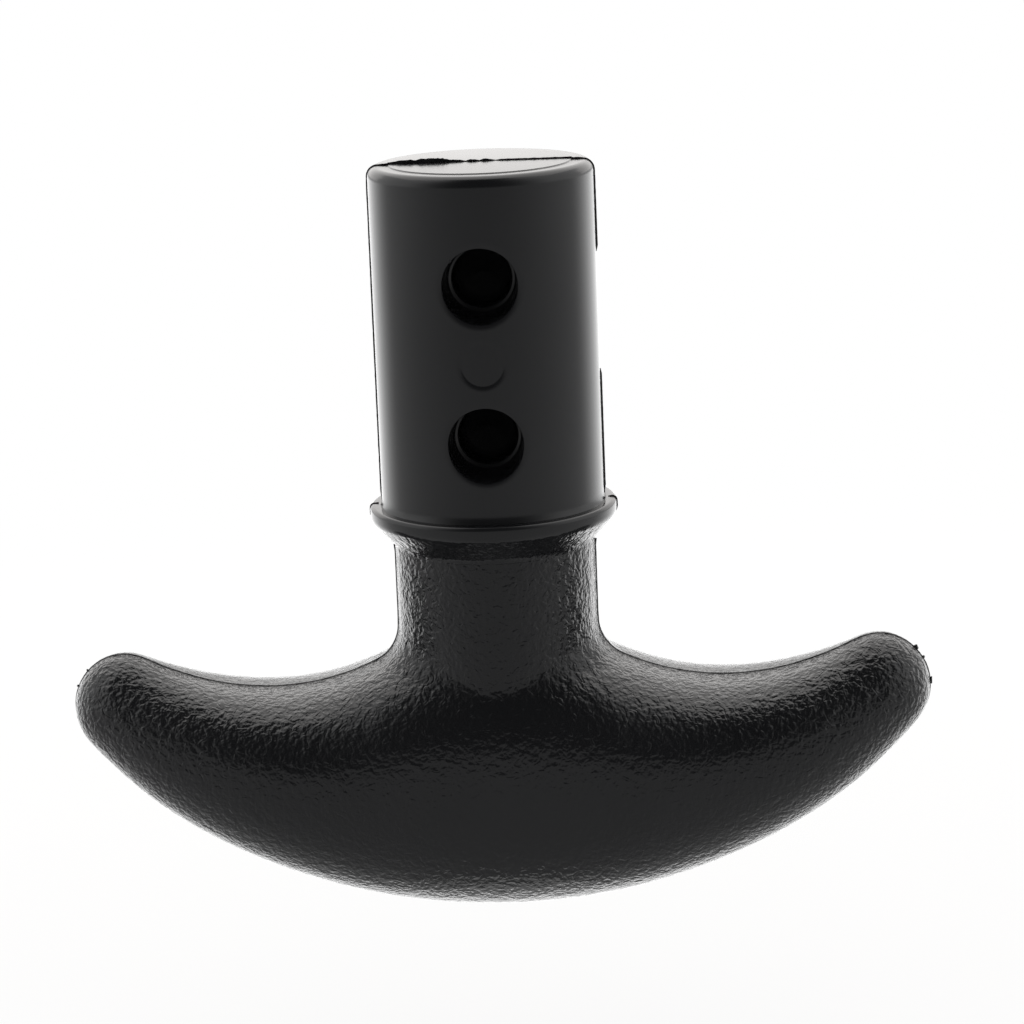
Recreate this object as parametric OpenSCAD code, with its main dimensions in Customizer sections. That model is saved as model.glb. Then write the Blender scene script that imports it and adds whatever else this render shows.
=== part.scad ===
// One-piece moulded T-grip for the end of a tubular shaft.
// Millimetres. The origin is on the plug's axis at the collar's seat, where the shaft tube ends.
// +Z runs out along the plug, X runs along the crescent and Y is its depth, front at -Y.
// The two mould halves part on the plane y = 0.

/* [Plug] */
// Outer radius of the plug that fills the shaft tube
plug_radius = 12.9; // [8:0.05:20]
// Length of the plug above the collar's seat
plug_length = 39.4; // [30:0.1:70]
// Rounding of the edge round the plug's end
plug_end_round = 1.2; // [0.4:0.1:3]
// Height of the slight flare at the plug's foot
foot_flare_height = 0.6; // [0.3:0.1:2]
// How far the flare widens the plug's radius
foot_flare = 0.2; // [0.05:0.05:0.6]
// Radius of the low raised disc on the plug's end face
end_disc_radius = 10.4; // [3:0.1:11]
// Height of that disc above the end face
end_disc_height = 0.12; // [0.05:0.01:0.5]

/* [Cross holes] */
// Radius of each hole's mouth at the plug's surface
hole_mouth_radius = 4.3; // [4:0.05:6]
// Radius of the tapered mouth where it meets the ledge
hole_ledge_radius = 3.85; // [3.6:0.05:4.4]
// Radius of the blind bore behind the ledge
hole_bore_radius = 3.35; // [1.5:0.05:3.5]
// Depth of the ledge below the plug's surface
hole_ledge_depth = 6.5; // [3:0.1:8]
// Height of the cone that ends each bore
hole_end_cone = 2; // [1:0.1:3]
// Thickness of the web between the tips of a front bore and the back bore
hole_web = 3; // [1:0.1:4]
// Height of the lower hole's centre above the seat
hole_height = 9; // [6:0.1:15]
// Distance between the two holes' centres
hole_spacing = 18.1; // [12:0.1:24]

/* [Collar] */
// Outer radius of the collar, which is the shaft tube's outer radius
collar_radius = 14.3; // [13.6:0.05:20]
// Height of the collar's straight side
collar_side = 1.55; // [1:0.05:4]
// Rounding of the collar's upper lip
collar_lip = 0.5; // [0.2:0.05:0.8]
// Height of the tapered underside that runs in to the neck
collar_taper = 2.95; // [1.5:0.05:5]

/* [Neck] */
// Radius of the neck
neck_radius = 11.65; // [8:0.05:12.5]
// Radius of the fillet that blends the neck into the crescent all round
neck_fillet = 5; // [2:0.1:7]

/* [Crescent] */
// Length of the crescent from tip to tip
crescent_span = 100.6; // [90:0.1:120]
// Distance of the belly's lowest point below the seat
belly_drop = 48.3; // [44:0.1:56]
// Distance of the rounded tips' centres below the seat
tip_drop = 23.5; // [20:0.1:26]
// Distance of the finger saddles' lowest points below the seat
saddle_drop = 21.8; // [20:0.1:26]
// Radius of the finger saddle on each side of the neck
saddle_radius = 31; // [28:0.1:40]
// Radius of the rounded tips, seen from the front
tip_radius = 5.8; // [4.5:0.1:7]
// Depth of the crescent from front to back at the middle
crescent_depth = 28.6; // [25:0.1:36]
// Depth of the crescent from front to back where the rounded tips start
tip_depth = 12.4; // [9:0.1:16]
// Fullness of the crescent in plan, where 2 is a parabola and more keeps its depth further out
plan_fullness = 2.6; // [2:0.1:4]
// Squareness of the upper half's section under the neck, where 2 is an ellipse
shoulder_squareness = 2.4; // [2:0.1:3]
// Squareness of the upper half's section at the finger saddles
saddle_squareness = 2.8; // [2:0.1:3.2]
// Squareness of the lower half's section at the middle
belly_squareness = 2.2; // [2:0.1:3]

/* [Parting bead] */
// Height of the bead that the mould's parting line leaves on the grip and the collar
bead_height = 0.2; // [0.1:0.05:0.6]
// Width of that bead at its root
bead_width = 0.25; // [0.15:0.05:0.8]
// Height of the highest stretch of the bead across the plug's end face
end_bead_height = 0.7; // [0.3:0.05:0.9]

/* [Hidden] */
$fn = 96;

half_depth = crescent_depth / 2;
tip_half_depth = tip_depth / 2;

// The outline on the parting plane is made of tangent arcs. The belly, the long arc that the palm
// rests on, goes through its lowest point and touches both round tips.
tip_x = crescent_span / 2 - tip_radius;
tip_z = -tip_drop;
belly_rise = belly_drop - tip_drop;
belly_radius =
    (pow(tip_x, 2) + pow(belly_rise, 2) - pow(tip_radius, 2)) / (2 * (belly_rise - tip_radius));
belly_centre_z = belly_radius - belly_drop;
saddle_z = saddle_radius - saddle_drop;
saddle_x = tip_x - sqrt(pow(saddle_radius + tip_radius, 2) - pow(saddle_z - tip_z, 2));
fillet_x = neck_radius + neck_fillet;
fillet_z = saddle_z - sqrt(pow(saddle_radius - neck_fillet, 2) - pow(fillet_x - saddle_x, 2));

// The angles at which the saddle arc leaves the neck's fillet and meets the tip.
saddle_start = atan2(fillet_z - saddle_z, fillet_x - saddle_x);
saddle_end = atan2(tip_z - saddle_z, tip_x - saddle_x);
root_x = saddle_x + saddle_radius * cos(saddle_start);
root_z = saddle_z + saddle_radius * sin(saddle_start);
root_slope = -1 / tan(saddle_start);

// The tip's cap runs from its upper tangent point to its lower one, about its middle direction.
cap_top = atan2(saddle_z - tip_z, saddle_x - tip_x);
cap_bottom = atan2(tip_z - belly_centre_z, tip_x);
cap_middle = (cap_top + cap_bottom) / 2;
cap_half = (cap_top - cap_bottom) / 2;
cap_top_x = tip_x + tip_radius * cos(cap_top);
cap_bottom_x = tip_x + tip_radius * cos(cap_bottom);
arm_end_x = (cap_top_x + cap_bottom_x) / 2;

// In plan the depth falls off as a power curve, and a conic closes it round the tip without a kink.
cap_run = tip_radius * (1 - cos(cap_half));
cap_slope = plan_fullness * (half_depth - tip_half_depth) / arm_end_x * cos(cap_middle);
cap_conic = (2 * cap_slope * tip_half_depth * cap_run - pow(tip_half_depth, 2)) / pow(cap_run, 2);
cap_nose = cap_slope * tip_half_depth - cap_conic * cap_run;

// How far out along the arm a point is: 0 at the middle, 1 where the cap starts.
function out_share(x) = min(1, abs(x) / arm_end_x);
function plan_depth(x) =
    tip_half_depth + (half_depth - tip_half_depth) * (1 - pow(out_share(x), plan_fullness));

// The sections' powers: 2 is an ellipse, and the round tips end on it.
saddle_share = pow(saddle_x / arm_end_x, 2);
shoulder_power = shoulder_squareness - 2;
saddle_power = ((saddle_squareness - 2) / (1 - saddle_share) - shoulder_power) / saddle_share;
function upper_power(x) =
    let (q = pow(out_share(x), 2)) 2 + (1 - q) * (shoulder_power + saddle_power * q);
function lower_power(x) = 2 + (belly_squareness - 2) * (1 - pow(out_share(x), 2));
function belly_at(x) = belly_centre_z - sqrt(pow(belly_radius, 2) - x * x);
function cap_depth(w) = sqrt(max(0, 2 * cap_nose * w + cap_conic * w * w));

// Under the neck the crescent's top is a parabola that carries on the two saddles.
function crown_at(x) = root_z - root_slope * (root_x * root_x - x * x) / (2 * root_x);
function middle_at(x) = (crown_at(x) + belly_at(x)) / 2;
function half_height_at(x) = (crown_at(x) - belly_at(x)) / 2;
function top_at(x, y) =
    let (n = upper_power(x), s = min(1, abs(y) / plan_depth(x)))
    middle_at(x) + half_height_at(x) * pow(max(0, 1 - pow(s, n)), 1 / n);

// The fillet in the upright plane at an angle a round the neck. The profile of the crescent's top
// in that plane is followed outwards until a ball of the fillet's radius touches it and the neck.
function slope_along(a, r) =
    let (e = 0.01)
    (top_at((r + e) * cos(a), (r + e) * sin(a)) - top_at((r - e) * cos(a), (r - e) * sin(a))) / (2 * e);
function ball_error(a, r) =
    let (m = slope_along(a, r)) r - neck_fillet * m / sqrt(1 + m * m) - fillet_x;
function touch_radius(a, low, high, steps) =
    let (r = (low + high) / 2)
    steps == 0 ? r
    : ball_error(a, r) > 0 ? touch_radius(a, low, r, steps - 1)
    : touch_radius(a, r, high, steps - 1);

// The angles round the neck's front half. The step beside each arm is double, or slivers appear.
half_turn_steps = 24;
blend_angles = [
    for (i = [0:half_turn_steps])
        if (i != 1 && i != half_turn_steps - 1) 180 * i / half_turn_steps
];
around = len(blend_angles) - 1;
fillet_steps = 7;
neck_top_z = -collar_side - collar_taper * 0.45;

// Each blend is [angle, touching radius, height there, ball centre's height, swept angle].
function blend_at(a) =
    a == 0 || a == 180 ? [a, root_x, root_z, fillet_z, 180 + saddle_start]
    : let (
        r = touch_radius(a, neck_radius, fillet_x, 24),
        m = slope_along(a, r),
        z = top_at(r * cos(a), r * sin(a))
    ) [a, r, z, z + neck_fillet / sqrt(1 + m * m), atan2(1, -m)];
blends = [for (a = blend_angles) blend_at(a)];

// A section is [middle x, middle z, chord direction x, z, half height, half depth,
// upper power, lower power, how far round its upper half goes].
function section(x0, z0, x1, z1, depth, upper, lower, reach = 90) =
    let (h = norm([x1 - x0, z1 - z0]) / 2)
    [(x0 + x1) / 2, (z0 + z1) / 2, (x1 - x0) / 2 / h, (z1 - z0) / 2 / h, h, depth, upper, lower, reach];

cap_steps = 6;
arm_steps = 18;
function cap_section(i) =
    let (a = cap_half * i / cap_steps, w = tip_radius * (1 - cos(a)))
    section(
        tip_x + tip_radius * cos(cap_middle - a), tip_z + tip_radius * sin(cap_middle - a),
        tip_x + tip_radius * cos(cap_middle + a), tip_z + tip_radius * sin(cap_middle + a),
        cap_depth(w), 2, 2
    );
function arm_section(i) =
    let (
        s = i / arm_steps,
        a = saddle_start + (saddle_end - saddle_start) * s,
        x1 = saddle_x + saddle_radius * cos(a),
        x0 = x1 + (cap_bottom_x - cap_top_x) * s * s,
        x = (x0 + x1) / 2
    ) section(
        x0, belly_at(x0), x1, saddle_z + saddle_radius * sin(a),
        plan_depth(x), upper_power(x), lower_power(x)
    );
function root_section(b) =
    let (
        x = b[1] * cos(b[0]),
        n = upper_power(x),
        t = min(1, (b[2] - middle_at(x)) / half_height_at(x))
    ) section(
        x, belly_at(x), x, crown_at(x), plan_depth(x), n, lower_power(x),
        atan2(t, pow(max(0, 1 - pow(t, n)), 1 / n))
    );
function mirrored(s) = [-s[0], s[1], -s[2], s[3], s[4], s[5], s[6], s[7], s[8]];

right_sections = concat(
    [for (i = [1:cap_steps - 1]) cap_section(i)],
    [for (i = [arm_steps:-1:1]) arm_section(i)]
);
last_right = len(right_sections) - 1;
sections = concat(
    right_sections,
    [for (b = blends) root_section(b)],
    [for (i = [last_right:-1:0]) mirrored(right_sections[i])]
);
root_first = last_right + 1;
root_last = root_first + around;
columns = len(sections);

// Points of the front half. The bead's half width is kept free of the skin on the parting plane.
lower_rows = 13;
upper_rows = 12;
rows = lower_rows + upper_rows;
bead_root = bead_width / 2;
function off_plane(y, depth) = -bead_root - y * (1 - bead_root / depth);
function skin_point(s, r) =
    let (
        a = r < lower_rows ? -90 + 90 * r / lower_rows : s[8] * (r - lower_rows) / upper_rows,
        n = a < 0 ? s[7] : s[6],
        k = pow(pow(cos(a), n) + pow(abs(sin(a)), n), -1 / n),
        t = s[4] * k * sin(a)
    ) [s[0] + s[2] * t, off_plane(s[5] * k * cos(a), s[5]), s[1] + s[3] * t];
function blend_point(b, r) =
    let (
        in_fillet = r <= fillet_steps,
        a = 180 + b[4] * (1 - r / fillet_steps),
        d = in_fillet ? fillet_x + neck_fillet * cos(a) : neck_radius,
        z = in_fillet ? b[3] + neck_fillet * sin(a) : neck_top_z
    ) [d * cos(b[0]), off_plane(d * sin(b[0]), d), z];
blend_rows = fillet_steps + 1;
function tip_point(side) =
    [side * (tip_x + tip_radius * cos(cap_middle)), -bead_root, tip_z + tip_radius * sin(cap_middle)];

front_points = concat(
    [for (s = sections) for (r = [0:rows]) skin_point(s, r)],
    [tip_point(1), tip_point(-1)],
    [for (b = blends) for (r = [1:blend_rows]) blend_point(b, r)]
);
front_count = len(front_points);
right_tip = columns * (rows + 1);
left_tip = right_tip + 1;
function skin(c, r) = c * (rows + 1) + r;
function blend(j, r) = r == 0 ? skin(root_first + j, rows) : left_tip + 1 + j * blend_rows + r - 1;

// The parting line, once round from the neck's right side by both tips to its left side.
parting = concat(
    [for (r = [blend_rows:-1:1]) blend(0, r)],
    [for (c = [root_first:-1:0]) skin(c, rows)],
    [right_tip],
    [for (c = [0:columns - 1]) skin(c, 0)],
    [left_tip],
    [for (c = [columns - 1:-1:root_last]) skin(c, rows)],
    [for (r = [1:blend_rows]) blend(around, r)]
);
parting_last = len(parting) - 1;
function bead_point(k, side) =
    let (
        p = front_points[parting[k]],
        d = front_points[parting[min(parting_last, k + 1)]] - front_points[parting[max(0, k - 1)]],
        u = [-d[2], d[0]] / norm([d[2], d[0]])
    ) [p[0] + bead_height * u[0], side * bead_root / 2, p[2] + bead_height * u[1]];

grip_points = concat(
    front_points,
    [for (p = front_points) [p[0], -p[1], p[2]]],
    [for (k = [0:parting_last]) bead_point(k, -1)],
    [for (k = [0:parting_last]) bead_point(k, 1)]
);
bead_front = 2 * front_count;
bead_back = bead_front + parting_last + 1;

function quad(a, b, c, d) = [[a, b, c], [a, c, d]];
function flat(lists) = [for (l = lists) for (f = l) f];

// A cell is cut along the diagonal that stays level as the rows close up towards the neck.
function cell(right_low, left_low, left_high, right_high, on_right) =
    on_right ? quad(right_low, left_low, left_high, right_high)
    : quad(left_low, left_high, right_high, right_low);
front_faces = concat(
    flat([for (c = [0:columns - 2]) for (r = [0:rows - 1])
        cell(skin(c, r), skin(c + 1, r), skin(c + 1, r + 1), skin(c, r + 1), c < (columns - 1) / 2)]),
    [for (r = [0:rows - 1]) [right_tip, skin(0, r), skin(0, r + 1)]],
    [for (r = [0:rows - 1]) [left_tip, skin(columns - 1, r + 1), skin(columns - 1, r)]],
    flat([for (j = [0:around - 1]) for (r = [0:blend_rows - 1])
        cell(blend(j, r), blend(j + 1, r), blend(j + 1, r + 1), blend(j, r + 1), j < around / 2)])
);
bead_faces = flat([for (k = [0:parting_last - 1]) concat(
    quad(parting[k], bead_front + k, bead_front + k + 1, parting[k + 1]),
    quad(bead_front + k, bead_back + k, bead_back + k + 1, bead_front + k + 1),
    quad(bead_back + k, front_count + parting[k], front_count + parting[k + 1], bead_back + k + 1)
)]);
top_faces = [
    concat(
        [for (j = [0:around]) blend(j, blend_rows)],
        [for (j = [around:-1:0]) front_count + blend(j, blend_rows)]
    ),
    [parting[0], front_count + parting[0], bead_back, bead_front],
    [
        parting[parting_last], bead_front + parting_last,
        bead_back + parting_last, front_count + parting[parting_last]
    ]
];
grip_faces = concat(
    front_faces,
    [for (f = front_faces) [for (i = [2:-1:0]) front_count + f[i]]],
    bead_faces,
    top_faces
);

// Neck and crescent: one skin, with the bead of the parting line all round.
module crescent() {
    polyhedron(points = grip_points, faces = grip_faces, convexity = 6);
}

// Plug and collar as one turned profile. The collar's taper ends inside the neck.
taper_overlap = 0.8;
taper_run = collar_radius - neck_radius + taper_overlap;
taper_fall = collar_taper * taper_run / (collar_radius - neck_radius);
module turned_profile() {
    square([plug_radius - plug_end_round, plug_length]);
    square([plug_radius, plug_length - plug_end_round]);
    translate([plug_radius - plug_end_round, plug_length - plug_end_round])
        circle(r = plug_end_round);
    square([end_disc_radius, plug_length + end_disc_height]);
    polygon([
        [0, 0],
        [plug_radius + foot_flare, 0],
        [plug_radius, foot_flare_height],
        [0, foot_flare_height]
    ]);
    translate([0, -collar_side]) square([collar_radius - collar_lip, collar_side]);
    translate([0, -collar_side]) square([collar_radius, collar_side - collar_lip]);
    translate([collar_radius - collar_lip, -collar_lip]) circle(r = collar_lip);
    polygon([
        [0, -collar_side],
        [collar_radius, -collar_side],
        [collar_radius - taper_run, -collar_side - taper_fall],
        [0, -collar_side - taper_fall]
    ]);
}

// One blind stepped hole that opens at -Y: a tapered mouth, a ledge and a smaller bore that ends
// in a cone, as the mould's core pin does.
mouth_flare = (hole_mouth_radius - hole_ledge_radius) / hole_ledge_depth;
module cross_hole(height) {
    mouth_over = 2;
    ledge_at = plug_radius - hole_ledge_depth;
    cone_tip = hole_web / 2;
    translate([0, 0, height]) rotate([90, 0, 0]) rotate_extrude() polygon([
        [0, cone_tip],
        [hole_bore_radius, cone_tip + hole_end_cone],
        [hole_bore_radius, ledge_at],
        [hole_ledge_radius, ledge_at],
        [hole_mouth_radius + mouth_flare * mouth_over, plug_radius + mouth_over],
        [0, plug_radius + mouth_over]
    ]);
}

// The parting bead on the collar's side and taper, and across the plug's end face.
module collar_bead() {
    reach = bead_height;
    rotate([90, 0, 0]) linear_extrude(height = bead_width * 0.8, center = true)
        for (side = [0, 1]) mirror([side, 0]) polygon([
            [0, -collar_lip],
            [collar_radius + reach, -collar_lip],
            [collar_radius + reach, -collar_side],
            [neck_radius + reach, -collar_side - collar_taper],
            [0, -collar_side - collar_taper]
        ]);
}
// On the end face the bead is ragged flash: it swells to its full height left of the middle, drops
// where a piece has torn off, and runs on low and even to the right.
module end_bead() {
    run = plug_radius - plug_end_round;
    root = 1;
    low = 0.35;
    translate([0, bead_width / 2, plug_length]) rotate([90, 0, 0])
        linear_extrude(height = bead_width) scale([run, end_bead_height]) polygon([
            [-1, -root],
            [-1, 0],
            [-0.76, 0.75],
            [-0.42, 1],
            [-0.34, 0.95],
            [-0.28, 0.5],
            [-0.2, low],
            [0.97, low],
            [1, 0],
            [1, -root]
        ]);
}

module t_grip() {
    color([0.03, 0.03, 0.035]) {
        difference() {
            rotate_extrude() turned_profile();
            for (i = [0, 1]) {
                height = hole_height + i * hole_spacing;
                cross_hole(height);
                mirror([0, 1, 0]) cross_hole(height);
            }
        }
        end_bead();
        collar_bead();
        crescent();
    }
}

t_grip();
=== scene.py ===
# %% [markdown]
# A moulded T-grip for the end of a paddle shaft, in near-black plastic. One shot of plastic makes
# the whole thing: a smooth plug that goes into the shaft tube, a collar that the tube stops
# against, a short neck, and an upturned crescent for the palm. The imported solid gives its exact
# size and place. This file adds what the eye sees on the real one: the leather grain of the mould,
# the thin flash on the parting line, the burrs, and a studio that shows them.

import math

import bmesh
import bpy
from mathutils import Matrix, Vector, noise


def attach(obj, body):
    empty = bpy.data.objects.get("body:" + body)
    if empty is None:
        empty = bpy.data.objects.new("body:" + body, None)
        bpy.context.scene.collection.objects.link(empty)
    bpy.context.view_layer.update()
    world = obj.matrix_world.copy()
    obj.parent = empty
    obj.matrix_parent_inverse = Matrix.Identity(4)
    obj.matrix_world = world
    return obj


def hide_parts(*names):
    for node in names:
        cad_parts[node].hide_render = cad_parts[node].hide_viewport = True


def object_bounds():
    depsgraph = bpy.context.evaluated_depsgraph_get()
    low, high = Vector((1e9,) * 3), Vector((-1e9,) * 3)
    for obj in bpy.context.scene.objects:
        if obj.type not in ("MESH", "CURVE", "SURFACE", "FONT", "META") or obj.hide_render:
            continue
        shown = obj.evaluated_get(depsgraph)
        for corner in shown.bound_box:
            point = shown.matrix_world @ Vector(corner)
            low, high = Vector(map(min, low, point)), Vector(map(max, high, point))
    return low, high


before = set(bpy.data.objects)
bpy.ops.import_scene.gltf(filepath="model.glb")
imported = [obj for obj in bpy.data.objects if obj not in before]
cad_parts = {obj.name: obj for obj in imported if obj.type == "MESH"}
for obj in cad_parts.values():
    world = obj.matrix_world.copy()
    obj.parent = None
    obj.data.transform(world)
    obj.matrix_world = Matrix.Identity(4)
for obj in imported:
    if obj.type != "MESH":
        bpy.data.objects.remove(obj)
cad_low, cad_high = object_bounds()
mm = 0.001
print("the solid's box in mm:", [round(c / mm, 2) for c in (cad_high - cad_low)])

# %% [markdown]
# The photograph was taken from a little above the crescent's ends, with a long lens that stands
# close to the part. The camera's place was found by fitting the plug's ellipses and the holes'
# centres. The lens is written as pixels over the frame's width, because that is what the fit gives.
# The camera is built from three directions (right, up and back), which leaves no doubt about its
# slight roll.

# %% Camera
frame_width = 1024
focal_pixels = 3706.67
azimuth, elevation, roll = (math.radians(a) for a in (2.43, 12.90, -2.24))
distance = 430.63 * mm
target = Vector((2.11, 0, -1.55)) * mm

back = Vector((
    math.sin(azimuth) * math.cos(elevation),
    -math.cos(azimuth) * math.cos(elevation),
    math.sin(elevation),
))
level_right = Vector((math.cos(azimuth), math.sin(azimuth), 0))
level_up = back.cross(level_right)
right = math.cos(roll) * level_right + math.sin(roll) * level_up
up = math.cos(roll) * level_up - math.sin(roll) * level_right

lens = bpy.data.cameras.new("studio_camera")
lens.sensor_width = 36
lens.lens = focal_pixels * lens.sensor_width / frame_width
lens.clip_start, lens.clip_end = 0.01, 20
camera = bpy.data.objects.new("studio_camera", lens)
turn = Matrix((right, up, back)).transposed().to_4x4()
camera.matrix_world = Matrix.Translation(target + distance * back) @ turn
bpy.context.scene.collection.objects.link(camera)
bpy.context.scene.camera = camera
print("lens in mm:", round(lens.lens, 1))

# %% [markdown]
# Materials and light are node trees. Wiring them by hand is slow to read, so one small class stands
# for a socket: sums and products of it add Math nodes, and its steps read like the formula. Any
# other node comes from one method, which sets the node's own settings first and then its sockets.

# %% Sockets as values
class Value:
    """One output socket. Arithmetic on it adds Math nodes to its tree."""

    def __init__(self, tree, socket):
        self.tree, self.socket = tree, socket

    def math(self, operation, *others):
        return self.tree.add("ShaderNodeMath", {"operation": operation}, [self, *others])[0]

    def __add__(self, other):
        return self.math("ADD", other)

    def __sub__(self, other):
        return self.math("SUBTRACT", other)

    def __rsub__(self, other):
        return self.tree.number(other).math("SUBTRACT", self)

    def __mul__(self, other):
        return self.math("MULTIPLY", other)

    def __truediv__(self, other):
        return self.math("DIVIDE", other)

    def __rtruediv__(self, other):
        return self.tree.number(other).math("DIVIDE", self)

    def __pow__(self, other):
        return self.math("POWER", other)

    __radd__, __rmul__ = __add__, __mul__

    def step(self, low, high):
        """0 below low, 1 above high and a smooth ramp between them."""
        settings = {"interpolation_type": "SMOOTHSTEP", "clamp": True}
        inputs = {"Value": self, "From Min": low, "From Max": high}
        return self.tree.add("ShaderNodeMapRange", settings, inputs)["Result"]


class Tree:
    """A node tree of a material or of the world, emptied first."""

    def __init__(self, owner):
        owner.use_nodes = True
        self.nodes, self.links = owner.node_tree.nodes, owner.node_tree.links
        self.nodes.clear()

    def add(self, kind, settings=None, inputs=None):
        """A node of this kind. Inputs are given by name or in order, as values or as links."""
        node = self.nodes.new(kind)
        for name, setting in (settings or {}).items():
            setattr(node, name, setting)
        pairs = inputs.items() if isinstance(inputs, dict) else enumerate(inputs or [])
        for key, given in pairs:
            if isinstance(given, Value):
                self.links.new(given.socket, node.inputs[key])
            else:
                node.inputs[key].default_value = given
        return Outputs(self, node)

    def number(self, amount):
        """A plain number, for a formula that starts with one."""
        node = self.nodes.new("ShaderNodeValue")
        node.outputs[0].default_value = amount
        return Value(self, node.outputs[0])

    def blend(self, share, first, second):
        """A colour between two colours, by a share from 0 to 1."""
        settings = {"data_type": "RGBA"}
        return self.add("ShaderNodeMix", settings, {0: share, 6: first, 7: second})[2]


class Outputs:
    """The outputs of one node, by name or in order."""

    def __init__(self, tree, node):
        self.tree, self.node = tree, node

    def __getitem__(self, key):
        return Value(self.tree, self.node.outputs[key])


# %% [markdown]
# The plastic is a near-black polyolefin. The plug and the collar's rim come from polished steel, so
# they are an even satin. The rest comes from steel that was etched with a fine leather pattern:
# low pillows about a millimetre across, finer pebbles on them, and faint wrinkles between. In the
# photograph it shows as fine streaks where the surface turns away, and hardly at all from straight
# ahead, so it is made deeper near the parting plane than on the front and the back. The pattern
# could be painted on an unwrapped skin. Here it is worked out from Object coordinates in three
# dimensions, so it has no seam, and it goes to the shader as a bump.

# %% The grain's noises
plastic = bpy.data.materials.new("near_black_plastic")
tree = Tree(plastic)
place = tree.add("ShaderNodeTexCoord")["Object"]
spot = tree.add("ShaderNodeSeparateXYZ", None, [place])


def noise_field(scale, detail, distortion=0.0):
    """Noise about 0, with this many cells in a metre."""
    settings = {"Vector": place, "Scale": scale, "Detail": detail, "Distortion": distortion}
    return tree.add("ShaderNodeTexNoise", None, settings)["Fac"] - 0.5


def valleys(scale, width):
    """Near 0 along the winding lines where a noise changes sign, and rising away from them."""
    valley_detail, winding = 1.2, 0.7
    round_bottom = 0.0001
    field = noise_field(scale, valley_detail, winding)
    return (field ** 2 + round_bottom) ** 0.5 * (1 / width)


grain_top = -1.2 * mm
grain_full = -2.6 * mm
grained = 1 - spot["Z"].step(grain_full, grain_top)

rim_share, face_share = 1.35, 0.60
off_parting = (spot["Y"] ** 2) ** 0.5
depth_share = rim_share - (rim_share - face_share) * off_parting.step(6 * mm, 13 * mm)

wrinkles = valleys(900, 0.17).step(0.0, 1.0)
pillows = noise_field(950, 1.5)
pebbles = noise_field(1900, 1.0)
grit = noise_field(3600, 2.0)
print("the grain is full below", round(grain_full / mm, 1), "mm")

# %% The plastic
wrinkle_depth, pillow_height, pebble_height, grit_height = 0.036, 0.17, 0.080, 0.012
satin_height = 0.0015 * mm
relief = wrinkles * wrinkle_depth + pillows * pillow_height
relief = relief + pebbles * pebble_height + grit * grit_height
relief = relief * grained * depth_share * mm
relief = relief + noise_field(900, 3.0) * satin_height
bump = tree.add(
    "ShaderNodeBump", None, {"Strength": 1.0, "Distance": 1.0, "Height": relief}
)["Normal"]

deep_black = (0.0061, 0.0063, 0.0070, 1)
soft_black = (0.0073, 0.0075, 0.0083, 1)
satin_roughness, grain_gloss, cloudiness = 0.18, 0.03, 0.06
cloud = noise_field(60, 4.0)
shade = tree.blend((cloud + 0.5).step(0.3, 0.7), deep_black, soft_black)
rough = satin_roughness - grained * grain_gloss + cloud * cloudiness
coating = tree.add(
    "ShaderNodeBsdfPrincipled",
    None,
    {"Base Color": shade, "Roughness": rough, "IOR": 1.5, "Normal": bump},
)["BSDF"]
tree.add("ShaderNodeOutputMaterial", None, {"Surface": coating})
print("the plastic has", len(plastic.node_tree.nodes), "nodes")

# %% [markdown]
# The part is one moulding, so it is shown as one closed mesh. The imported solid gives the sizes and
# the sculpted crescent, but its triangles are too coarse for the plug, whose walls mirror the room
# like a lens. So the plug and the collar are turned again here, as a profile spun round the axis,
# and the crescent is taken from the solid. First come the sizes, as they are in the solid.

# %% Sizes of the plug and the collar
plug_radius = 12.9 * mm
plug_top = 39.4 * mm
plug_end_round = 1.2 * mm
disc_radius = 10.4 * mm
disc_height = 0.12 * mm
flare_height = 0.6 * mm
flare = 0.2 * mm
collar_radius = 14.3 * mm
collar_side = 1.55 * mm
collar_lip = 0.5 * mm
collar_under_lip = 0.45 * mm
neck_radius = 11.65 * mm
neck_top = -4.5 * mm
neck_fillet = 0.3 * mm
cut_z = -4.95 * mm
rounded_neck = 11.625 * mm
print("the plug is", round(2 * plug_radius / mm, 1), "mm across")

# %% [markdown]
# A spin is the bmesh form of a lathe. Only the corners of the profile are drawn; the long plug wall
# is divided into rows about as high as the columns are wide, because the cross holes are
# cut in it next. The corners that a mould rounds are bevelled on the ring, after the spin. A bevel
# can't be wider than the row beside it, so the wall starts with a corner of its own just below
# the rounded end.

# %% Tools for the lathe
turn_steps = 160
wall_rows = 80
weld = 0.001 * mm


def ring_of(shape, radius, height):
    """The edges of a turned shape that lie on one circle round the Z axis."""
    near = 0.01 * mm

    def on_it(vert):
        return abs(vert.co.xy.length - radius) < near and abs(vert.co.z - height) < near
    return [edge for edge in shape.edges if all(on_it(vert) for vert in edge.verts)]


def soften(shape, edges, amount, segments):
    """Round a ring of edges."""
    bmesh.ops.bevel(
        shape, geom=edges, offset=amount, offset_type="OFFSET", affect="EDGES",
        segments=segments, profile=0.5, material=-1, clamp_overlap=True,
    )


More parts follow.
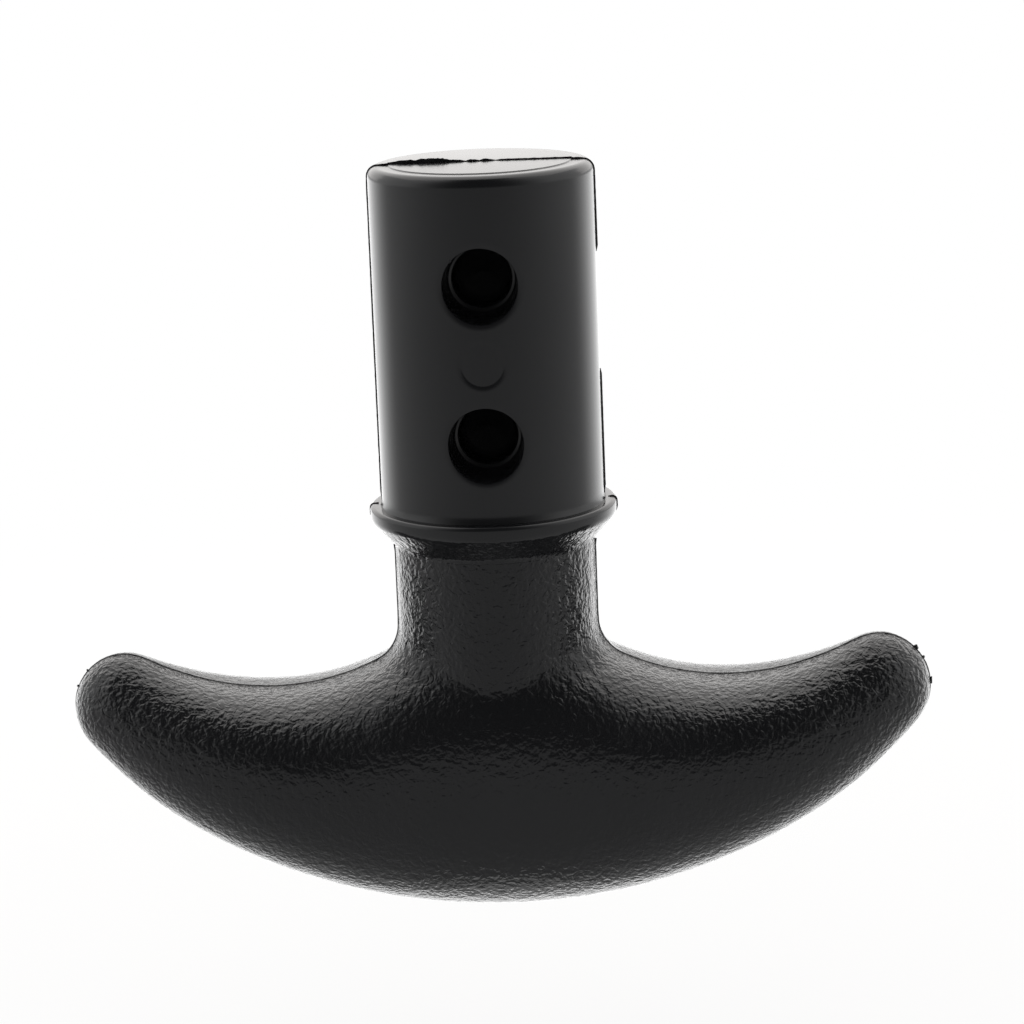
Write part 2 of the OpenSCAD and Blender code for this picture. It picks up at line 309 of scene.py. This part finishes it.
# %% Turn the plug and the collar
below_round = plug_top - plug_end_round - 0.1 * mm
corners = [
    (0, plug_top + disc_height),
    (disc_radius, plug_top + disc_height),
    (disc_radius + disc_height, plug_top),
    (plug_radius, plug_top),
    (plug_radius, below_round),
    (plug_radius, flare_height),
    (plug_radius + flare, 0),
    (collar_radius, 0),
    (collar_radius, -collar_side),
    (neck_radius, neck_top),
    (rounded_neck, cut_z),
]
shape = bmesh.new()
chain = [shape.verts.new((radius, 0, height)) for radius, height in corners]
sides = [shape.edges.new(pair) for pair in zip(chain, chain[1:])]
long_wall = sides[corners.index((plug_radius, below_round))]
bmesh.ops.subdivide_edges(shape, edges=[long_wall], cuts=wall_rows - 1)
bmesh.ops.spin(
    shape, geom=shape.verts[:] + shape.edges[:], cent=(0, 0, 0), axis=(0, 0, 1),
    angle=math.tau, steps=turn_steps, use_merge=True,
)
bmesh.ops.remove_doubles(shape, verts=shape.verts, dist=weld)
soften(shape, ring_of(shape, plug_radius, plug_top), plug_end_round, 8)
soften(shape, ring_of(shape, collar_radius, 0), collar_lip, 5)
soften(shape, ring_of(shape, collar_radius, -collar_side), collar_under_lip, 4)
soften(shape, ring_of(shape, neck_radius, neck_top), neck_fillet, 4)
outline = sorted(
    (vert.co.copy() for vert in shape.verts if abs(vert.co.y) < weld and vert.co.x > -mm),
    key=lambda spot: (-round(spot.z / mm, 3), spot.x),
)
print("the turned body has", len(shape.faces), "faces and", len(outline), "points in its outline")

# %% [markdown]
# Each hole goes in from its own mould half: a mouth that narrows slightly, a ledge, and a smaller
# bore that ends in a cone, short of the web in the middle. A Boolean would cut it, but it leaves
# long thin faces on a glossy wall, and they show. So the wall's faces round the axis are taken out,
# the ragged rim is laid on a circle, and the rim is extruded inward ring by ring. Each ring knows
# its angles, so it stays round, and it follows the curved wall where it has to.

# %% Rings that follow the wall
def wall_y(x):
    """How far the plug's wall stands from the parting plane, at this x."""
    return math.sqrt(plug_radius ** 2 - x ** 2)


def lay_ring(verts, height, side, radius_at, depth_at):
    """Put verts on a circle round a hole's axis. The radius may depend on the depth."""
    passes = 4
    for vert, angle in verts:
        radius, depth = radius_at(plug_radius), plug_radius
        for _ in range(passes):
            depth = depth_at(radius * math.cos(angle))
            radius = radius_at(depth)
        vert.co = (radius * math.cos(angle), side * depth, height + radius * math.sin(angle))


def next_ring(shape, ring):
    """Extrude a ring of verts, given with their angles, and return the new ring."""
    verts = [vert for vert, _ in ring]
    known = set(verts)
    edges = [e for e in shape.edges if e.is_boundary and known.issuperset(e.verts)]
    made = bmesh.ops.extrude_edge_only(shape, edges=edges)["geom"]
    fresh = [g for g in made if isinstance(g, bmesh.types.BMVert)]
    out = []
    for vert in fresh:
        nearest = min(ring, key=lambda pair: (pair[0].co - vert.co).length_squared)
        out.append((vert, nearest[1]))
    return out


def close_ring(shape, ring, tip):
    """Extrude a ring once more and draw it together at its tip."""
    last = [vert for vert, _ in next_ring(shape, ring)]
    bmesh.ops.pointmerge(shape, verts=last, merge_co=tip)


# %% Open the wall
def open_wall(shape, height, side, radius):
    """Take out the wall's faces round an axis and return the ring that is left, on a circle."""
    half_way = 0.5 * plug_radius

    def off_axis(spot):
        return math.hypot(spot.x, spot.z - height)
    cut = [
        face for face in shape.faces
        if face.calc_center_median().y * side > half_way
        and off_axis(face.calc_center_median()) < radius
    ]
    bmesh.ops.delete(shape, geom=cut, context="FACES")
    rim = [
        vert for vert in shape.verts
        if vert.is_boundary and vert.co.z > 0 and vert.co.y * side > 0
        and off_axis(vert.co) < radius + mm
    ]
    rim.sort(key=lambda vert: math.atan2(vert.co.z - height, vert.co.x))
    first = math.atan2(rim[0].co.z - height, rim[0].co.x)
    ring = [(vert, first + math.tau * i / len(rim)) for i, vert in enumerate(rim)]
    lay_ring(ring, height, side, lambda depth: radius, wall_y)
    return ring


# %% Cut the cross holes
mouth_radius = 4.3 * mm
ledge_radius = 3.85 * mm
bore_radius = 3.35 * mm
ledge_depth = 6.5 * mm
cone_tip = 1.5 * mm
cone_base = 3.5 * mm
hole_heights = (9 * mm, 27.1 * mm)
rim_radius = 5.1 * mm
mouth_flare = (mouth_radius - ledge_radius) / ledge_depth
softening = 0.15 * mm
upper_softening = 0.3 * softening


def cut_hole(shape, height, side):
    """Cut one hole, from the wall down to the tip of its cone."""
    ring = open_wall(shape, height, side, rim_radius)
    ledge_y = plug_radius - ledge_depth

    def mouth_at(depth):
        return ledge_radius + mouth_flare * (depth - plug_radius + ledge_depth)
    steps = (
        (lambda depth: mouth_at(depth) + softening, wall_y),
        (lambda depth: mouth_at(depth) + upper_softening, lambda x: wall_y(x) - upper_softening),
        (mouth_at, lambda x: wall_y(x) - softening),
        (mouth_at, lambda x: wall_y(x) - 2 * mm),
        (mouth_at, lambda x: ledge_y + softening),
        (lambda depth: ledge_radius - softening, lambda x: ledge_y),
        (lambda depth: bore_radius + softening, lambda x: ledge_y),
        (lambda depth: bore_radius, lambda x: ledge_y - softening),
        (lambda depth: bore_radius, lambda x: cone_base),
    )
    for radius_at, depth_at in steps:
        ring = next_ring(shape, ring)
        lay_ring(ring, height, side, radius_at, depth_at)
    for left in (0.75, 0.5, 0.25, 0.1, 0.03):
        ring = next_ring(shape, ring)
        lay_ring(ring, height, side, lambda depth: left * bore_radius,
                 lambda x: cone_tip + left * (cone_base - cone_tip))
    close_ring(shape, ring, (0, side * cone_tip, height))
    return len(ring)


front, rear = -1, 1
for side in (front, rear):
    for height in hole_heights:
        print("hole with", cut_hole(shape, height, side), "verts round it")

# %% [markdown]
# On the front, between the holes, a pin of the mould has left a round mark: a flat dent that is
# hardly deeper than a hair. It is made as the holes are, with rings that follow the wall. Each
# ring has a radius and a share of the dent's depth.

# %% Press the pin's mark
mark_z = 18.2 * mm
mark_room = 3.1 * mm
mark_radius = 2.5 * mm
mark_depth = 0.05 * mm
mark_rings = (
    (mark_radius + 0.03 * mm, 0), (mark_radius, 0.3), (mark_radius - 0.05 * mm, 1),
    (mark_radius - 0.2 * mm, 1), (1.6 * mm, 1), (0.8 * mm, 1),
)
ring = open_wall(shape, mark_z, front, mark_room)
print("the mark has", len(ring), "verts round it")
for radius, share in mark_rings:
    ring = next_ring(shape, ring)
    lay_ring(ring, mark_z, front, lambda _: radius, lambda x: wall_y(x) - share * mark_depth)
close_ring(shape, ring, (0, mark_depth - plug_radius, mark_z))
turned = shape

# %% [markdown]
# The crescent comes from a copy of the solid. The solid's own mesh is a heap of loose triangles, so
# it is left alone, and the copy is merged first. The neck's narrow facets are dissolved, a cut
# takes off all above the neck, pairs of triangles become quads again, and one level of subdivision
# rounds the facets. The sharp edges of the parting line are creased before it, so that they stay.

# %% Take the crescent from the solid
shape = bmesh.new()
shape.from_mesh(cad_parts["t_grip"].data)
bmesh.ops.remove_doubles(shape, verts=shape.verts, dist=weld)
neck_slack = 0.4 * mm
neck_from, neck_to = -25 * mm, -3 * mm
on_neck = [
    edge for edge in shape.edges
    if all(v.co.xy.length < neck_radius + neck_slack and neck_from < v.co.z < neck_to
           for v in edge.verts)
]
bmesh.ops.dissolve_limit(
    shape, angle_limit=math.radians(0.6), edges=on_neck,
    verts=list({vert for edge in on_neck for vert in edge.verts}),
)
bmesh.ops.bisect_plane(
    shape, geom=shape.verts[:] + shape.edges[:] + shape.faces[:],
    plane_co=(0, 0, cut_z), plane_no=(0, 0, 1), clear_outer=True,
)
bmesh.ops.join_triangles(
    shape, faces=[face for face in shape.faces if len(face.verts) == 3],
    angle_face_threshold=math.radians(25), angle_shape_threshold=math.radians(60),
)

# %% Divide the neck and crease the parting line
upright_height = 3 * mm
crease_degrees = 31
uprights = [
    edge for edge in shape.edges
    if all(abs(v.co.xy.length - neck_radius) < neck_slack for v in edge.verts)
    and abs(edge.verts[0].co.z - edge.verts[1].co.z) > upright_height
]
bmesh.ops.subdivide_edges(shape, edges=uprights, cuts=5, use_grid_fill=True)
crease = shape.edges.layers.float.new("crease_edge")
for edge in shape.edges:
    if edge.is_manifold and edge.calc_face_angle() > math.radians(crease_degrees):
        edge[crease] = 1
print("the cut crescent has", len(shape.faces), "faces, of them triangles:",
      sum(len(face.verts) == 3 for face in shape.faces))

# %% Round the facets
mesh = bpy.data.meshes.new("cut_crescent")
shape.to_mesh(mesh)
shape.free()
rough_cut = bpy.data.objects.new("cut_crescent", mesh)
bpy.context.scene.collection.objects.link(rough_cut)
rounding = rough_cut.modifiers.new("rounding", "SUBSURF")
rounding.levels = rounding.render_levels = 1
graph = bpy.context.evaluated_depsgraph_get()
rounded = bpy.data.meshes.new_from_object(rough_cut.evaluated_get(graph))
bpy.data.objects.remove(rough_cut)
print("the rounded crescent has", len(rounded.polygons), "faces")

# %% [markdown]
# Both halves now end on an open ring. They are put in one mesh and bridged, which gives one
# closed skin, as the real part has.

# %% Join them
turned.from_mesh(rounded)
open_edges = [edge for edge in turned.edges if edge.is_boundary]
print("open edges to bridge:", len(open_edges))
bmesh.ops.bridge_loops(turned, edges=open_edges)
bmesh.ops.recalc_face_normals(turned, faces=turned.faces)
print("edges that aren't closed:", sum(not edge.is_manifold for edge in turned.edges))

# %% [markdown]
# Laid over the photograph, the real arms are about half a millimetre fuller near their tips than
# the solid's, with no more reach. So their skin is moved out, more towards the tips, and the ends
# are drawn back to the reach they had. The solid's parting bead is even all round; the real
# one is thin and uneven on the arms and all but rubbed off on the belly, so its crown is lowered.

# %% Fill the arms and wear the parting bead
def ramp(amount, low, high):
    """0 at low, 1 at high and a smooth rise between them."""
    share = min(max((amount - low) / (high - low), 0), 1)
    return share * share * (3 - 2 * share)


fullness = 0.45 * mm
fill_from, fill_to = 20 * mm, 42 * mm
draw_more = 0.02 * mm
draw_from, draw_to = 40 * mm, 50.6 * mm
bead_root = 0.3 * mm
bead_crown = 0.075 * mm
seam_margin = 0.1 * mm
belly_top = -24 * mm
belly_facing = 0.3
wear, belly_wear, uneven_wear = 0.09 * mm, 0.16 * mm, 0.03 * mm
wear_length = 1.5 * mm

turned.normal_update()
for vert in turned.verts:
    if vert.co.z > cut_z - seam_margin:
        continue
    on_bead = abs(vert.co.y) < bead_root
    outward = Vector((vert.normal.x, 0 if on_bead else vert.normal.y, vert.normal.z)).normalized()
    if abs(vert.co.y) < bead_crown:
        on_belly = vert.co.z < belly_top and outward.z < belly_facing
        uneven = noise.noise(vert.co / wear_length) * uneven_wear
        vert.co -= outward * ((belly_wear if on_belly else wear) + uneven)
    vert.co += outward * fullness * ramp(abs(vert.co.x), fill_from, fill_to)
    drawn_back = (fullness + draw_more) * ramp(abs(vert.co.x), draw_from, draw_to)
    vert.co.x -= math.copysign(drawn_back, vert.co.x)
bead_line = [
    vert.co.copy() for vert in turned.verts
    if abs(vert.co.y) < bead_crown and vert.co.z < cut_z
]
print("points on the parting bead:", len(bead_line))

# %% [markdown]
# Every finished piece is shown the same way: smooth faces that break only at true edges, the one
# plastic, and the part's only body to ride on. The moulding takes the place of the solid. Its large
# flat faces keep their shading flat beside the small ones of a rounded edge, with a modifier that
# weighs normals by the faces' size.

# %% Show the moulding
def show(name, shape, material, sharp=crease_degrees):
    """Make an object of a bmesh, with the part's plastic, on the part's only body."""
    for face in shape.faces:
        face.smooth = True
    mesh = bpy.data.meshes.new(name)
    shape.to_mesh(mesh)
    shape.free()
    mesh.set_sharp_from_angle(angle=math.radians(sharp))
    piece = bpy.data.objects.new(name, mesh)
    bpy.context.scene.collection.objects.link(piece)
    mesh.materials.append(material)
    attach(piece, "root")
    print(name, "has", len(mesh.polygons), "faces")
    return piece


moulding = show("grip_moulding", turned, plastic)
weighted = moulding.modifiers.new("flat faces", "WEIGHTED_NORMAL")
weighted.keep_sharp = True
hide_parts("t_grip")

# %% [markdown]
# Where the two mould halves meet, a little plastic has crept out and stands as a paper-thin fin. It
# runs up both sides of the plug and over its end, it is torn in places, and on the right side a
# stretch is missing. The fins follow the turned body's own outline, which was kept before the
# holes were cut. Each is a grid that is laid along a stretch of that outline and thickened. Its
# height is given at a few places along the way, and a little noise makes its edge uneven.

# %% Along the outline
along = [0.0]
for spot, following in zip(outline, outline[1:]):
    along.append(along[-1] + (following - spot).length)


def outline_at(distance):
    """The point of the outline this far from the middle of the plug's end, and the way out."""
    shortest = 1e-9
    reach = 0.25 * mm

    def point(s):
        i = max(1, next((k for k, a in enumerate(along) if a >= s), len(along) - 1))
        share = (s - along[i - 1]) / max(along[i] - along[i - 1], shortest)
        return outline[i - 1].lerp(outline[i], min(max(share, 0), 1))
    run = point(min(distance + reach, along[-1])) - point(max(distance - reach, 0))
    return point(distance), Vector((-run.z, 0, run.x)).normalized()


def height_at(stretch, distance):
    """The fin's height between the places where it is given."""
    for (s0, h0), (s1, h1) in zip(stretch, stretch[1:]):
        if distance <= s1 * mm:
            share = (distance / mm - s0) / (s1 - s0)
            return (h0 + (h1 - h0) * max(share, 0)) * mm
    return stretch[-1][1] * mm


print("the outline is", round(along[-1] / mm, 1), "mm long")

# %% A fin
fin_step = 0.12 * mm
fin_root = 0.12 * mm
fin_thickness = 0.11 * mm
fin_bend = 0.06 * mm
fin_sharp = 50
inside = 0.01 * mm
torn_per_mm, side_shift = 1.7, 9.0
coarse_tear, fine_tear, finer = 6, 4, 4.1
bend_slowness, bend_seed = 0.35, Vector((0, 0, 5))


def fin(name, side, stretch, raggedness):
    """A fin on one side of the parting plane's outline; stretch holds (distance, height) in mm."""
    start, end = stretch[0][0] * mm, stretch[-1][0] * mm
    pieces = max(8, round((end - start) / fin_step))
    shape = bmesh.new()
    bmesh.ops.create_grid(shape, x_segments=pieces, y_segments=3, size=0.5)
    for vert in shape.verts:
        u, v = vert.co.x + 0.5, vert.co.y + 0.5
        distance = start + u * (end - start)
        spot, out = outline_at(distance)
        seed = Vector((distance / mm * torn_per_mm, side * side_shift, 0))
        ragged = 1 + raggedness * coarse_tear * noise.noise(seed)
        ragged += raggedness * fine_tear * noise.noise(seed * finer)
        bend = fin_bend * noise.noise(seed * bend_slowness + bend_seed) * v
        place = spot + out * (-fin_root + v * (fin_root + height_at(stretch, distance) * ragged))
        vert.co = Vector((place.x * side, bend, min(place.z, cad_high.z - inside)))
    bmesh.ops.recalc_face_normals(shape, faces=shape.faces)
    bmesh.ops.solidify(shape, geom=shape.faces[:], thickness=fin_thickness)
    bmesh.ops.recalc_face_normals(shape, faces=shape.faces)
    show(name, shape, plastic, sharp=fin_sharp)


# %% Flash
left_side, right_side = -1, 1
plug_raggedness = 0.015
fin("flash_end_left", left_side, [
    (0, 0.1), (0.6, 0.22), (1.1, 0.25), (1.6, 0.08), (2.2, 0.22), (2.9, 0.24), (3.6, 0.3),
    (4.2, 0.46), (6.4, 0.48), (7, 0.38), (8.4, 0.38), (9.1, 0.34), (10.3, 0.18), (10.7, 0.24),
    (11.6, 0.14), (12.8, 0.14),
], 0.04)
fin("flash_plug_left", left_side, [
    (12.8, 0.14), (14.4, 0.19), (30, 0.21), (50.4, 0.19), (51.4, 0.08),
], plug_raggedness)
fin("flash_end_right", right_side, [
    (0, 0.1), (0.5, 0.27), (1.0, 0.2), (1.8, 0.06), (2.5, 0.15), (10.2, 0.15), (11, 0.22),
    (11.8, 0.14), (12.8, 0.13),
], 0.03)
fin("flash_plug_upper_right", right_side, [
    (12.8, 0.13), (14.4, 0.18), (22.4, 0.21), (23.1, 0.05),
], plug_raggedness)
fin("flash_plug_lower_right", right_side, [
    (36.7, 0.05), (37.3, 0.19), (50.4, 0.21), (51.4, 0.08),
], plug_raggedness)
fin("flash_collar_left", left_side, [
    (52.1, 0.15), (52.5, 0.08), (53.2, 0.1), (54.3, 0.11), (55.2, 0.07), (58.2, 0.08),
], 0.03)
fin("flash_collar_right", right_side, [
    (52.1, 0.08), (52.5, 0.16), (53.0, 0.16), (53.4, 0.13), (54.2, 0.12), (54.6, 0.06),
    (58.2, 0.07),
], 0.03)

# %% [markdown]
# The tips have a few burrs where the flash was torn off, the biggest of them on the right one, and
# the upper hole has a nick on its edge. Each is a small ball with a noisy skin. A burr is set on
# the nearest point of the finished parting bead, and kept inside the solid's box.

# %% Burrs
burrs = [
    (Vector((48.9, 0, -18.4)), 0.30),
    (Vector((49.7, 0, -20.0)), 0.18),
    (Vector((50.7, 0, -23.4)), 0.38),
    (Vector((44.2, 0, -33.0)), 0.16),
    (Vector((-48.9, 0, -19.0)), 0.14),
    (Vector((-50.0, 0, -21.2)), 0.16),
]
nick = Vector((-3.15, 0, 30.1)) * mm
nick.y = -wall_y(nick.x)
nick_size = 0.16 * mm
lumpiness, flatness = 0.5, 0.6
lump_length = 0.25 * mm

spots = []
for rough_spot, size in burrs:
    on_bead = min(bead_line, key=lambda p: (p - rough_spot * mm).length)
    spots.append((on_bead, size * mm))
spots.append((nick, nick_size))
shape = bmesh.new()
for spot, size in spots:
    lump = bmesh.ops.create_icosphere(shape, subdivisions=3, radius=size)["verts"]
    for vert in lump:
        vert.co *= 1 + lumpiness * noise.noise(vert.co / lump_length + spot / mm)
        vert.co.y *= flatness
        vert.co += spot
        vert.co.x = min(vert.co.x, cad_high.x - inside)
show("burrs", shape, plastic)

# %% [markdown]
# The part is held by its plug, so it doesn't rest on anything: it can't stand on its round belly.
# The floor is a wide pale sheet a little below it, which takes a soft shadow. Far from the part the
# sheet turns to plain white for the camera and for mirror rays, as an overexposed light table
# does, and no lamp has to be turned up for that.

# %% Floor
def stage_object(name, shape):
    """Make a piece of the studio, with a material of its own."""
    mesh = bpy.data.meshes.new(name)
    shape.to_mesh(mesh)
    shape.free()
    thing = bpy.data.objects.new(name, mesh)
    bpy.context.scene.collection.objects.link(thing)
    thing.data.materials.append(bpy.data.materials.new(name))
    return thing


floor_z = cad_low.z - 25 * mm
floor_radius = 6
shape = bmesh.new()
bmesh.ops.create_circle(shape, cap_ends=True, segments=96, radius=floor_radius)
bmesh.ops.translate(shape, verts=shape.verts, vec=(0, 0, floor_z))
floor = stage_object("floor", shape)
print("the floor lies", round((cad_low.z - floor_z) / mm), "mm below the part")


# %% The floor's material
def seen(tree):
    """1 for rays that come from the camera, a mirror or a glass, and 0 for the light itself."""
    path = tree.add("ShaderNodeLightPath")
    flags = path["Is Camera Ray"] + path["Is Glossy Ray"] + path["Is Transmission Ray"]
    return flags.math("MINIMUM", 1)


near_white, far_white = 0.72, 1.0
paper = (0.92, 0.92, 0.92, 1)
tree = Tree(floor.data.materials[0])
spot = tree.add("ShaderNodeSeparateXYZ", None, [tree.add("ShaderNodeTexCoord")["Object"]])
away = (spot["X"] ** 2 + spot["Y"] ** 2) ** 0.5
share = seen(tree) * (near_white + (far_white - near_white) * away.step(0.10, 0.35))
matt = tree.add("ShaderNodeBsdfDiffuse", None, {"Color": paper})["BSDF"]
white = tree.add("ShaderNodeEmission", None, {"Color": (1, 1, 1, 1), "Strength": 1})["Emission"]
surface = tree.add("ShaderNodeMixShader", None, [share, matt, white])[0]
tree.add("ShaderNodeOutputMaterial", None, {"Surface": surface})
print("the floor's material has", len(tree.nodes), "nodes")

# %% [markdown]
# The photograph's studio is white round the sides and behind, brightest low down behind the part,
# and dark on the camera's side, as the room beyond a light table is. The world gives an even white
# light. Two wide lamps, very slightly warm, hang above and low down, both behind the part: they put
# the soft bands on the tops of the arms and on the plug's end.

# %% Light
world = bpy.data.worlds.new("studio")
bpy.context.scene.world = world
lit_level, seen_level = 0.80, 1.0
tree = Tree(world)
level = lit_level + (seen_level - lit_level) * seen(tree)
sky = tree.add("ShaderNodeBackground", None, {"Color": (1, 1, 1, 1), "Strength": level})[0]
tree.add("ShaderNodeOutputWorld", None, {"Surface": sky})


def softbox(name, width, depth, radiance, place, tilt):
    """A rectangular lamp of this radiance, turned about X from straight down."""
    lamp = bpy.data.lights.new(name, "AREA")
    lamp.shape = "RECTANGLE"
    lamp.size, lamp.size_y = width, depth
    lamp.energy = radiance * math.pi * width * depth
    lamp.color = (1.0, 0.955, 0.92)
    box = bpy.data.objects.new(name, lamp)
    box.location = place
    box.rotation_euler = (math.radians(tilt), 0, 0)
    box.visible_camera = False
    bpy.context.scene.collection.objects.link(box)
    print(name, "gives", round(lamp.energy, 2), "W")


softbox("top_softbox", width=1.4, depth=1.1, radiance=0.75, place=(0, 0.60, 0.8), tilt=0)
softbox("back_softbox", width=2.4, depth=0.6, radiance=0.7, place=(0, 0.9, 0.36), tilt=-90)

# %% [markdown]
# Black plastic is seen mostly by what it mirrors, so the dark side of the studio is what draws the
# forms: without it the part would look grey and flat. It is painted reflection: a glowing card that
# shows in reflections only and lights nothing, so that the floor stays pale and the part is lit from
# all round. A bent wall of it stands on the camera's side, a lid closes it overhead, and a strip
# lies round the part and stands in for the table in reflections. Each is a chain of points that is
# spun round the part.

# %% The card's shape
card_radius = 0.55
card_foot = 0.1
card_top = card_radius * math.tan(math.radians(75))
lid_middle = 0.001
table_near = 0.012
table_far = 1.4
wall_turn = math.radians(100)
all_round = math.radians(179.9)


def arc_of(shape, turn, radii_and_heights, lift):
    """Spin a chain of points round the Z axis, from -turn to turn about the front."""
    start = Vector((math.sin(turn), -math.cos(turn), 0))
    chain = [
        shape.verts.new(start * radius + Vector((0, 0, height + lift)))
        for radius, height in radii_and_heights
    ]
    edges = [shape.edges.new(pair) for pair in zip(chain, chain[1:])]
    bmesh.ops.spin(
        shape, geom=chain + edges, cent=(0, 0, 0), axis=(0, 0, -1), angle=2 * turn, steps=60,
    )


wall = [(card_radius, 0), (card_radius, card_foot), (card_radius, card_top)]
lid = [(card_radius, card_top), (lid_middle, card_top)]
table_strip = [(table_near, 0), (table_far, 0)]
shape = bmesh.new()
arc_of(shape, wall_turn, wall, floor_z)
arc_of(shape, all_round, lid, floor_z)
arc_of(shape, all_round, table_strip, floor_z + mm)
print("the card has", len(shape.faces), "faces")
# A glowing sheet that lights nothing and shows only in reflections: painted reflection of the
# studio.
card = stage_object("painted_reflection_card", shape)
card.visible_camera = card.visible_diffuse = card.visible_shadow = False
card.visible_transmission = card.visible_volume_scatter = False

# %% [markdown]
# The card's glow, which the part shows as painted reflection, is one formula of the place on it. The
# table strip is a painted reflection of the table: pale, brighter far behind. Above it the front is
# all but black up to the zenith as painted shade; the lid turns bright just past the zenith, and low
# down the wall turns to white towards the sides, as painted light.

# %% The card's glow, a painted reflection
tree = Tree(card.data.materials[0])
spot = tree.add("ShaderNodeSeparateXYZ", None, [tree.add("ShaderNodeTexCoord")["Object"]])
away = (spot["X"] ** 2 + spot["Y"] ** 2) ** 0.5
facing = spot["Y"] / away * -1
# Painted reflection of the table under the part: pale, and brighter far behind it.
table_level, table_slope, table_behind = 0.62, 0.28, 1.2
table_reflection = table_level - facing * table_slope + table_behind * (0 - facing).step(0.25, 0.9)

# Painted reflection of the room: painted shade in front, painted light on the lid and at the sides.
front_level, lid_level, side_level = 0.02, 0.95, 1.0
least_height = 0.01
lean = spot["Y"] / spot["Z"].math("MAXIMUM", least_height)
dark = front_level + lid_level * lean.step(-0.18, 0.06)
aside = (1 - facing.step(0.1, 1.0)) * (1 - spot["Z"].step(1.2, 2.0))
room_reflection = dark * (1 - aside) + side_level * aside

rise = spot["Z"].step(-0.06, 0.09)
glow = table_reflection * (1 - rise) + room_reflection * rise
glow = tree.add("ShaderNodeEmission", None, {"Color": (1, 1, 1, 1), "Strength": glow})[0]
tree.add("ShaderNodeOutputMaterial", None, {"Surface": glow})
print("the card's glow has", len(tree.nodes), "nodes")

bpy.context.scene.view_settings.view_transform = "Standard"
